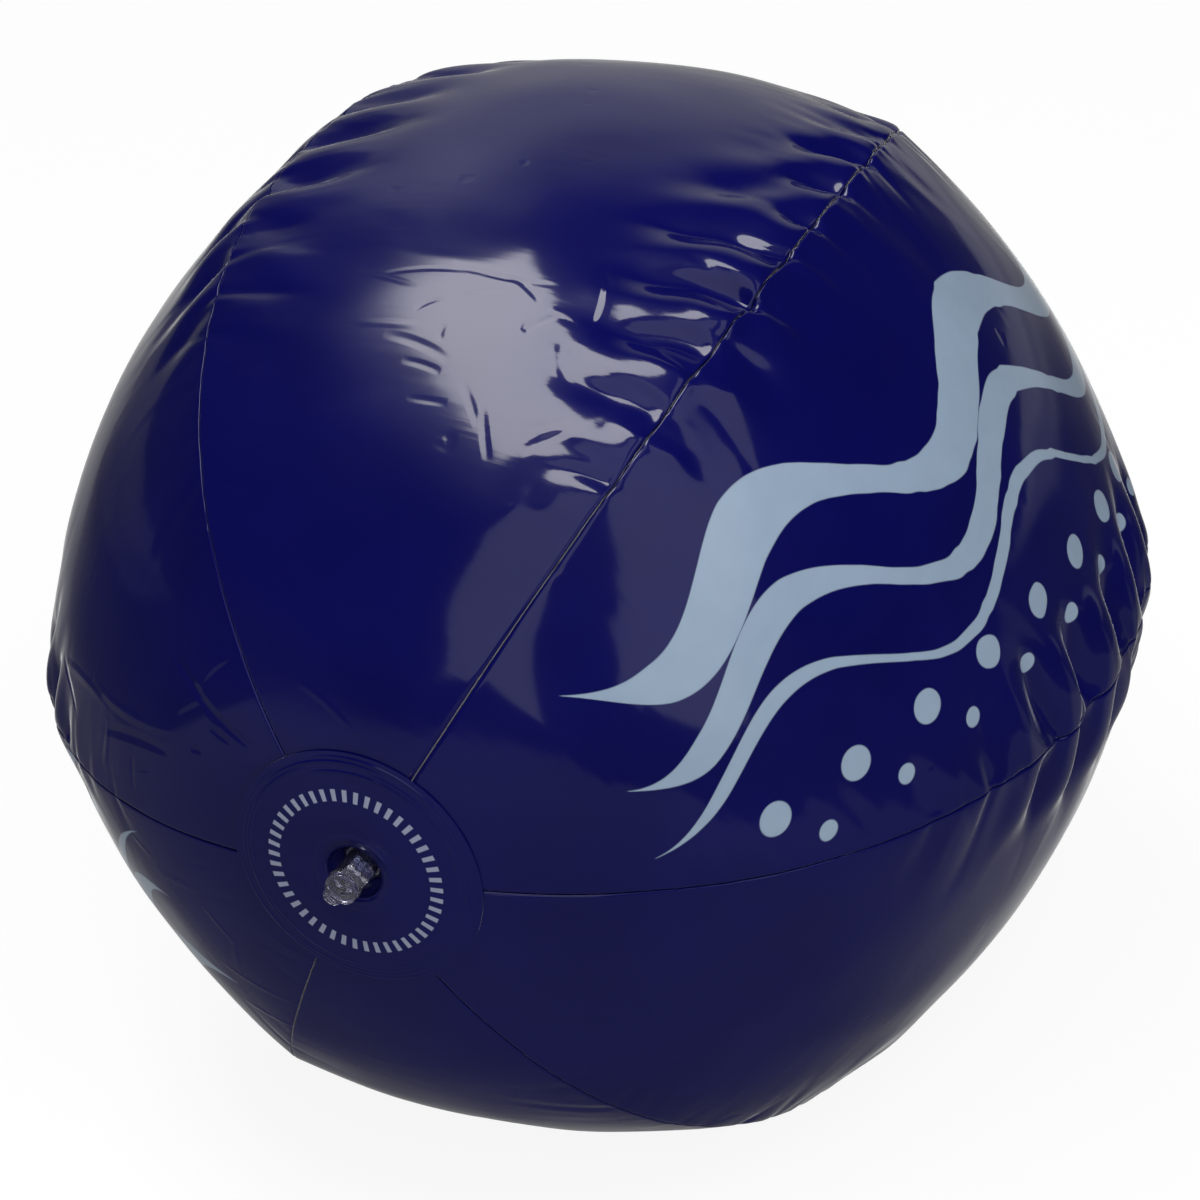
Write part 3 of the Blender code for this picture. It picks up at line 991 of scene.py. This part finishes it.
flatBall, along, across = ballSurface()
sheet = along, across, flatBall
outward = outwards(flatBall)
ballShape = onFloor(flatBall + outward * pinchField(*sheet, puckerProfile)[..., None])
ballShape = settle(*sheet, ballShape, outward)
folds = pinchField(*sheet, dartProfile) + lineField(*sheet)
folds += creaseField(*sheet) + swellField(flatBall)
aside = unit(np.roll(flatBall, -1, 1) - np.roll(flatBall, 1, 1))
ballShape = ballShape + outward * folds[..., None]
ballShape = onFloor(ballShape + aside * pinchField(*sheet, kinkProfile)[..., None])
print("film settled over", ballShape.shape[0], "rows")

goreNames = ("gore_1", "gore_6", "gore_5", "gore_4", "gore_3", "gore_2")  # in order round the ball
facing = outwards(ballShape)
for k, node in enumerate(goreNames):
    piece = panelPiece("film_" + node, panelGrid(ballShape, facing, k))
    finished(piece, panelFilms.get(node, plainFilm), "film", "ball", node)
print("panels made")


# End discs

disc = {
    "hole": 0.0079,
    "pinHole": 0.0004,  # closed with a face
    "flat": 0.016, "film": 0.0003, "steps": 192,
    "rings": (18, 14, 44),  # flat middle, slope, ridges
    "ridgeStart": 0.0272,
    "ridges": (0.0284, 0.0296, 0.0308, 0.0320),  # embossed weld rings
    "ridgeHalf": 0.00030, "ridgeHeight": 0.00020,
    "ridgeWear": ((0.3, 2, 1.9), (0.3, 5, 2.7)),  # share, waves round, lag
    "ridgeSway": (0.00012, 3),  # metres, waves round
    "lip": (0.00035, 0.0013),  # turned in at the hole: depth and width
    "flangeRing": (0.0092, 0.0110),  # where the valve's flange is welded on
    "flangeEdges": (0.0006, 0.0005),
    "flangeHeight": 0.00018,
}


def discDrop(radius):
    # height under the flat middle
    def height(r):
        share = 1 - (r / panel["seamRadius"]) ** panel["fullness"]
        return panel["poleHeight"] * share ** (1 / panel["fullness"])

    return height(max(radius, disc["flat"])) - height(disc["flat"])


def discRings(hole):
    bounds = (hole, disc["flat"], disc["ridgeStart"], panel["discRadius"])
    steps = [hole]
    for start, end, count in zip(bounds, bounds[1:], disc["rings"]):
        steps.extend(np.linspace(start, end, count)[1:])
    depth, width = disc["lip"]
    (low, high), (inner, outer) = disc["flangeRing"], disc["flangeEdges"]
    rings = []
    for radius in steps:
        rise = 0
        if hole > disc["pinHole"]:
            rise -= depth * max(1 - (radius - hole) / width, 0) ** 2
            inside = np.clip((radius - low) / inner, 0, 1) * np.clip((high - radius) / outer, 0, 1)
            rise += disc["flangeHeight"] * inside
        rings.append((radius, discDrop(radius) + rise))
    return rings


def discPiece(name, hole, place):
    piece = turned(name, discRings(hole), disc["steps"], capStart=hole == disc["pinHole"])
    points = pointsOf(piece)
    out, turn = np.hypot(points[:, 0], points[:, 1]), np.arctan2(points[:, 1], points[:, 0])
    for index, spot in enumerate(disc["ridges"]):
        worn = 0.5
        for share, count, lag in disc["ridgeWear"]:
            worn = worn + share * np.sin(count * turn + lag * index)
        sway = disc["ridgeSway"][0] * np.sin(disc["ridgeSway"][1] * turn + index)
        rise = np.exp(-(((out - spot - sway) / disc["ridgeHalf"]) ** 2))
        points[:, 2] += disc["ridgeHeight"] * worn.clip(0.1, 1) * rise
    movePoints(piece, points)
    if np.mean([face.normal.z for face in piece.data.polygons]) < 0:
        inEdit(bpy.ops.mesh.flip_normals)
    applied(piece, "SOLIDIFY", thickness=disc["film"], offset=-1, use_even_offset=True)
    return seated(piece, 60, place)


for node, hole, place in (
    ("valve_end_disc", disc["hole"], valvePlace),
    ("blank_end_disc", disc["pinHole"], blankPlace),
):
    finished(discPiece(node + "_film", hole, place), discFilm, "disc_film", "ball", node)
print("discs made")


# Valve

vinyl = {
    "gloss": 0.03,
    "dull": 0.05,  # added in patches
    "index": 1.50,
    "coat": (2.4, 0.03),  # index and roughness
    "ripple": (500, 0.00005),  # waves a metre and depth
}
vinylTints = {  # tint, haze, clear share, coat
    "clearVinyl": ((0.80, 0.82, 1.00, 1), (0.66, 0.68, 0.95, 1), 0.985, 1.0),
    # the second finish is painted shade: an opaque dark navy standing in for clear vinyl seen in
    # the shaded well
    "paintedShadeVinyl": ((0.007, 0.008, 0.085, 1), (0.004, 0.004, 0.060, 1), 0.0, 0.0),
}


def vinylLook(name):
    tint, haze, clear, coat = vinylTints[name]
    look, tree = newLook(name)
    where = place3d(tree)
    scale, depth = vinyl["ripple"]
    closeGloss(tree, noise(tree, where, scale) * depth, {
        "Base Color": colourMix(tree, patch(tree, where, "vinylStreaks"), tint, haze),
        "Roughness": vinyl["gloss"] + vinyl["dull"] * patch(tree, where, "vinylDull"),
        "IOR": vinyl["index"],
        "Transmission Weight": clear,
        "Coat Weight": coat,
        "Coat IOR": vinyl["coat"][0],
        "Coat Roughness": vinyl["coat"][1],
    })
    return look


clearVinyl = vinylLook("clearVinyl")
paintedShadeVinyl = vinylLook("paintedShadeVinyl")  # painted shade: opaque dark navy in place of clear vinyl, for the parts down in the shaded well
stem = {
    "bore": 0.0028, "outside": 0.0042, "mouth": 0.0054, "foot": -0.0070, "bead": 0.0003,
    "beadTop": 0.0010, "collar": 0.0048, "collarTop": -0.0050, "collarFoot": -0.0062,
    "bevel": 0.00015, "steps": 64,
}


def stemPiece():
    s = stem
    rings = [
        (s["bore"], s["foot"]),
        (s["outside"], s["foot"]),
        (s["outside"], s["collarFoot"]),
        (s["collar"], s["collarFoot"]),
        (s["collar"], s["collarTop"]),
        (s["outside"], s["collarTop"]),
        (s["outside"], s["mouth"] - s["beadTop"] - s["bead"]),
        (s["outside"] + s["bead"], s["mouth"] - s["beadTop"]),
        (s["outside"] + s["bead"], s["mouth"]),
        (s["bore"], s["mouth"]),
    ]
    piece = turned("stem_clear", rings, s["steps"], closed=True)
    bevelled(piece, s["bevel"], 2, 40)
    return seated(piece, 45, valvePlace)


sleeve = {
    "mouth": 0.00784, "foot": 0.0055, "film": 0.0004, "top": -0.0003, "rim": -0.0014,
    "bottom": -0.0062, "bow": 0.0005, "steps": 12,
}


def sleevePiece():
    s = sleeve
    rings = [(s["mouth"], s["top"]), (s["mouth"], s["rim"])]
    for step in range(1, s["steps"] + 1):
        share = step / s["steps"]
        bow = s["bow"] * math.sin(math.pi * share)
        rings.append((
            s["mouth"] + (s["foot"] - s["mouth"]) * share + bow,
            s["rim"] + (stem["collarTop"] - s["rim"]) * share,
        ))
    rings.append((s["foot"], s["bottom"]))
    piece = turned("sleeve_clear", rings, stem["steps"])
    applied(piece, "SOLIDIFY", thickness=s["film"], offset=-1, use_even_offset=True)
    return seated(piece, 60, valvePlace)


plug = {
    "seat": 0.0057, "cap": 0.0043, "thick": 0.0018,
    "rim": (0.80, 0.76, 0.70),  # of the cap, where its top steps down
    "sink": 0.00015, "dimple": 0.0012,
    "dimpleRim": 1.25,  # of the dimple
    "dimpleDepth": 0.0004, "shank": 0.0025, "tip": 0.0019,
    "middle": 0.3,  # of tip and dimple, closed with a face
    "foot": -0.0003, "taper": 0.0006, "bevel": 0.00018, "tabReach": 0.0067,
    "tabWidth": 0.0050, "tabThick": 0.0010,
    "tabRoot": 0.0015,  # how far out the tab's inner end lies
    "tabDrop": 0.00030,  # below the cap's top
    "tabBevel": 0.00022, "ridges": 3, "ridgeRadius": 0.00026,
    "ridgeGaps": (0.0002, 0.0003, 0.3),  # from the cap, from the end, of a pitch
    "ridgeHalf": (0.36, 0.05),  # of the tab's width, less per ridge
    "turn": math.radians(45),  # side of the stem that the strap is on
    "steps": 64,
}


def plugPiece():
    p = plug
    top = p["seat"] + p["thick"]
    sunk = top - p["sink"]
    edge, slope, inner = (p["cap"] * share for share in p["rim"])
    rings = [
        (p["tip"] * p["middle"], p["foot"]),
        (p["tip"], p["foot"]),
        (p["shank"], p["foot"] + p["taper"]),
        (p["shank"], p["seat"]),
        (p["cap"], p["seat"]),
        (p["cap"], top),
        (edge, top),
        (slope, sunk),
        (inner, sunk),
        (p["dimple"] * p["dimpleRim"], sunk),
        (p["dimple"], top - p["dimpleDepth"]),
        (p["dimple"] * p["middle"], top - p["dimpleDepth"]),
    ]
    piece = turned("plug_clear", rings, p["steps"], capStart=True, capEnd=True)
    bevelled(piece, p["bevel"], 2, 40)
    fused(piece, tabPiece())
    return seated(piece, 40, valvePlace)


def tabPiece():
    # a plate with a round end and grip ridges, opposite the strap
    p = plug
    size = {"vertices": 48, "radius": p["tabWidth"] / 2, "depth": p["tabThick"]}
    tab = added(bpy.ops.mesh.primitive_cylinder_add, "tab", **size)
    points = pointsOf(tab)
    top = p["seat"] + p["thick"] - p["tabDrop"]
    points[:, 0] += np.where(points[:, 0] > 0, p["tabReach"] - p["tabWidth"] / 2, p["tabRoot"])
    points[:, 2] += top - p["tabThick"] / 2
    movePoints(tab, points)
    bevelled(tab, p["tabBevel"], 3, 50)
    radius = p["ridgeRadius"]
    fromCap, fromEnd, lag = p["ridgeGaps"]
    half, less = p["ridgeHalf"]
    for index in range(p["ridges"]):
        run = (p["tabReach"] - p["cap"] - fromEnd) * (index + lag) / p["ridges"]
        size = {"segments": 24, "ring_count": 12, "radius": radius}
        ridge = added(bpy.ops.mesh.primitive_uv_sphere_add, "ridge", **size)
        spots = pointsOf(ridge)
        spots[:, 1] *= p["tabWidth"] * (half - less * index) / radius
        movePoints(ridge, spots + np.array([p["cap"] + fromCap + run, 0, top]))
        fused(tab, ridge)
    placed(tab, Matrix.Rotation(p["turn"] + math.pi, 4, "Z"))
    return tab


strap = {
    "wide": 0.0066, "narrow": 0.0052, "thick": 0.0008, "root": 0.0014, "reach": 0.0067,
    "bend": 0.0013, "bendSteps": 8,
    "gaps": (0.0002, 0.0001),  # to the stem and to the cap
    "crown": 0.00025,
    "ripple": (0.00019, 9, 4),  # height, waves across, lag along
    "bevel": 0.0002, "columns": 24,
}


def strapRoute():
    s = strap
    top = plug["seat"] + plug["thick"] / 2
    stemGap, capGap = s["gaps"]
    route = [(stem["outside"] + stemGap, s["root"])]
    for middle, start in ((s["root"] + s["bend"], -math.pi / 2), (top - s["bend"], 0)):
        for step in range(s["bendSteps"] + 1):
            turn = start + math.pi / 2 * step / s["bendSteps"]
            out = s["reach"] - s["bend"] + s["bend"] * math.cos(turn)
            route.append((out, middle + s["bend"] * math.sin(turn)))
    route.append((plug["cap"] + capGap, top))
    return np.array(route)


def strapPiece():
    s = strap
    route = strapRoute()
    last = len(route) - 1
    size = {"x_subdivisions": last, "y_subdivisions": s["columns"], "size": 2}
    piece = added(bpy.ops.mesh.primitive_grid_add, "strap_clear", **size)
    points = pointsOf(piece)
    across = points[:, 1]
    step = np.rint((points[:, 0] + 1) / 2 * last).astype(int)
    share = step / last
    half = (s["narrow"] + (s["wide"] - s["narrow"]) * share) / 2
    height, count, lag = s["ripple"]
    crown = s["crown"] * (1 - across**2) + height * np.sin(count * across + lag * share)
    out = route[step, 0] + crown * np.sin(math.pi * share)
    movePoints(piece, np.stack([out, across * half, route[step, 1]], -1))
    applied(piece, "SOLIDIFY", thickness=s["thick"], offset=0, use_even_offset=True)
    bevelled(piece, s["bevel"], 2, 60)
    applied(piece, "SUBSURF", levels=1, render_levels=1)
    inEdit(bpy.ops.mesh.normals_make_consistent, inside=False)
    return seated(piece, 60, valvePlace @ Matrix.Rotation(plug["turn"], 4, "Z"))


finished(stemPiece(), clearVinyl, "clear_vinyl", "stem", "valve_stem")
finished(plugPiece(), clearVinyl, "clear_vinyl", "plug", "valve_plug")
sleeveClear = sleevePiece()
# the clear sleeve gets the painted shade finish
finished(sleeveClear, paintedShadeVinyl, "clear_vinyl", None, "valve_sleeve")
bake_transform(sleeveClear)
strapClear = strapPiece()
finished(strapClear, clearVinyl, "clear_vinyl", None, "valve_strap")
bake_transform(strapClear)
# the flange and flap get the painted shade finish too
for node in ("valve_flange", "check_flap"):
    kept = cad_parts[node]
    kept.data.materials.clear()
    kept.data.materials.append(paintedShadeVinyl)
print("valve made")


# Studio

view = {
    "azimuth": math.radians(27.9),
    "elevation": math.radians(31.2),
    "roll": math.radians(-6.89),
    "distance": 1.9, "sensor": 36,
    "frame": 1200,  # pixels
    "scale": 3885,  # pixels to a metre at the ball's centre
    "shift": (14.5, -13.6),  # pixels right and up to the frame's centre
}


def linked(name, data):
    thing = bpy.data.objects.new(name, data)
    bpy.context.scene.collection.objects.link(thing)
    return thing


def makeCamera():
    turn = Matrix.Rotation(view["azimuth"], 4, "Z")
    turn = turn @ Matrix.Rotation(math.pi / 2 - view["elevation"], 4, "X")
    turn = turn @ Matrix.Rotation(view["roll"], 4, "Z")
    lens = bpy.data.cameras.new("camera")
    lens.sensor_width = view["sensor"]
    lens.lens = view["scale"] * view["distance"] * view["sensor"] / view["frame"]
    camera = linked("camera", lens)
    right, up = (pixels / view["scale"] for pixels in view["shift"])
    step = Matrix.Translation((right, up, view["distance"]))
    camera.matrix_world = Matrix.Translation(ballCentre) @ turn @ step
    bpy.context.scene.camera = camera


# Lamps: place from the ball's centre, way it faces away from, way up,
# width, height, radiance, seen in mirrors, lights what is matt
lamps = {
    "softbox": (
        (-0.277, -0.143, 1.27), (0, 0, 1), (0.871, 0.491, 0),
        1.22, 0.45, 5.0, True, True,
    ),
    "cardLeft": (
        (0.225, -1.21, 0.80), (0.18, -1.32, 0.58), (0.18, 0.45, 0.88),
        0.75, 1.36, 0.50, True, False,
    ),
    "cardRight": (
        (0.975, -0.68, 0.60), (0.975, -0.76, 0.50), (0, 0.64, 0.77),
        0.60, 1.25, 0.50, True, False,
    ),
    "fill": (
        (0.90, -0.72, 1.42), (0.90, -0.72, 1.42), (0, 0, 1),
        1.50, 1.50, 3.2, False, True,
    ),
}


def makeLamps():
    for name, (place, away, up, width, height, radiance, mirrored, lighting) in lamps.items():
        light = bpy.data.lights.new(name, "AREA")
        light.shape = "RECTANGLE"
        light.size, light.size_y = width, height
        light.energy = radiance * math.pi * width * height
        lamp = linked(name, light)
        back = Vector(away).normalized()
        side = Vector(up).cross(back).normalized()
        turn = Matrix((side, back.cross(side), back)).transposed().to_4x4()
        lamp.matrix_world = Matrix.Translation(ballCentre + Vector(place)) @ turn
        lamp.visible_glossy = mirrored
        lamp.visible_transmission = mirrored
        lamp.visible_diffuse = lighting


room = {  # each step is from level, to level, start, end
    "fill": 0.04,  # level for the ball's own colour
    "dark": 0.014,  # what the gloss sees of the unlit room
    "clear": 0.55,  # seen by the valve's clear edges
    "wall": 0.33,  # level of the wall behind, in the gloss
    "wallTurn": ((0, 1, 78, 96), (1, 0.30, 125, 134), (1, 0, 140, 156)),  # degrees
    "wallRise": (1, 0, 0.35, 0.88),
    "board": 0.30,  # level of a board against that wall
    "boardTurn": ((0, 1, 119, 125), (1, 0, 134, 139)),
    "boardRise": ((0, 1, 0.34, 0.50), (1, 0, 0.68, 0.78)),
}


def makeWorld():
    world = bpy.data.worlds.new("studio")
    bpy.context.scene.world = world
    world.use_nodes = True
    tree = world.node_tree
    tree.nodes.clear()
    seen, mirror, through = rayKinds(tree)
    x, y, z = axes(tree, Wire.make(tree, "TexCoord", output="Generated"))
    turn = y.turn(x) * (180 / math.pi)
    wall = turn.ramps(*room["wallTurn"]) * z.ramp(*room["wallRise"])
    board = turn.ramps(*room["boardTurn"]) * z.ramps(*room["boardRise"])
    level = room["dark"] + wall * room["wall"] + board * room["board"]
    level = level.most(through * room["clear"])
    level = seen + (1 - seen) * (mirror * level + (1 - mirror) * room["fill"])
    shader = Wire.make(tree, "Background", {"Color": level, "Strength": 1.0})
    Wire.make(tree, "OutputWorld", {"Surface": shader})


# The floor's look in the gloss and through clear parts is painted light: it glows with no lamp, in
# a bright patch behind the ball with a halo, a lit table top and a strip beside it.
ground = {  # steps as above; side and depth in half sizes of the patch
    "size": 8, "drop": 0.0002, "white": 0.92,
    "share": 0.87,  # of the white that stays in the shadow
    "seen": 1.05,  # level in the picture
    "bounce": (0.06, 0.80, 0.03, 0.18),  # painted bounce light the floor gives the ball, dimmed near the ball as painted shadow
    "patch": (0.146, 0.29),  # half sizes of the painted pool of light on the floor behind
    "bright": (0.70, 0, 0.90, 1.10),
    "halo": ((0.15, 0, 1.05, 1.5), (0.08, 0, 1.2, 2.2)),
    "haloSide": (1, 0.15, 0.95, 1.12),
    "least": 0.02,
    "front": (0.15, 1, -0.06, 0.10),
    "far": ((0, 0.15, 0.55, 0.75), (0, 0.14, 0.9, 1.3)),
    "farSide": (0.2, 1, -2.1, -0.9),
    "beside": (0, 0.10, 0.35, 0.95),  # a painted strip of light right of the ball
    "besideDepth": ((0, 1, -0.16, -0.05), (1, 0, 0.03, 0.08)),
    # a painted lit table top on the floor, not seen by the camera
    "table": ((0.085, 0.135, 0.25, 0.80), (1, 0.2, 1.7, 2.8), (0.68, 1, 0.09, 0.22)),
    "right": (0.66, 0.035),  # the painted lit table's edges and their softness
    "rightBend": (0.01, 1.25),  # where an edge bends, and how much
    "left": (0.47, 0.03),
    "leftBends": ((-0.02, 0.8), (0.08, -1.9)),
    "leftFront": (0.6, 0.15),
}


def makeFloor():
    g = ground
    size = {"size": g["size"], "location": (0, 0, -g["drop"])}
    floor = added(bpy.ops.mesh.primitive_plane_add, "floor", **size)
    look, tree = newLook("paleFloor")
    seen, mirror, _ = rayKinds(tree)
    x, y, _ = axes(tree, place3d(tree))
    cosine, sine = math.cos(view["azimuth"]), math.sin(view["azimuth"])
    side = (x * cosine + y * sine) / g["patch"][0]
    behind = y * cosine - x * sine
    deep = (behind - axisHeight / math.tan(view["elevation"])) / g["patch"][1]
    out = (side * side + deep * deep).root()
    # painted light: where the floor glows in the gloss, brightest just behind the ball
    halo = sum(out.ramp(*step) for step in g["halo"]) * side.ramp(*g["haloSide"])
    glow = (out.ramp(*g["bright"]) + halo + g["least"]) * behind.ramp(*g["front"])
    glow = glow + sum(behind.ramp(*step) for step in g["far"]) * side.ramp(*g["farSide"])
    beside = side.ramp(*g["beside"]) * behind.ramps(*g["besideDepth"])
    far = (x * x + y * y).root()
    start, bend = g["rightBend"]
    right = (x + (y - start).most(0) * bend).under(*g["right"])
    slope, start = g["leftFront"]
    left = x * -1 - (y * -slope - start).most(0)
    for start, bend in g["leftBends"]:
        left = left + (y - start).most(0) * bend
    table = far.ramps(*g["table"]) * right * left.under(*g["left"])
    glow = glow.most(table + beside).most(room["dark"])
    # painted bounce: the floor glows onto the ball, dim under it as painted shadow
    bounce = far.ramp(*g["bounce"])
    glow = seen * g["seen"] + (1 - seen) * (mirror * glow + (1 - mirror) * bounce)
    lit = Wire.make(tree, "Emission", {"Color": glow, "Strength": 1.0})
    matt = Wire.make(tree, "BsdfDiffuse", {"Color": (g["white"],) * 3 + (1,)})
    share = (1 - seen).most(g["share"])
    closeLook(tree, Wire.make(tree, "MixShader", {0: share, 1: matt, 2: lit}))
    floor.data.materials.append(look)


makeCamera()
makeLamps()
makeWorld()
makeFloor()
bpy.context.scene.view_settings.view_transform = "Standard"
print("studio made")

pick()
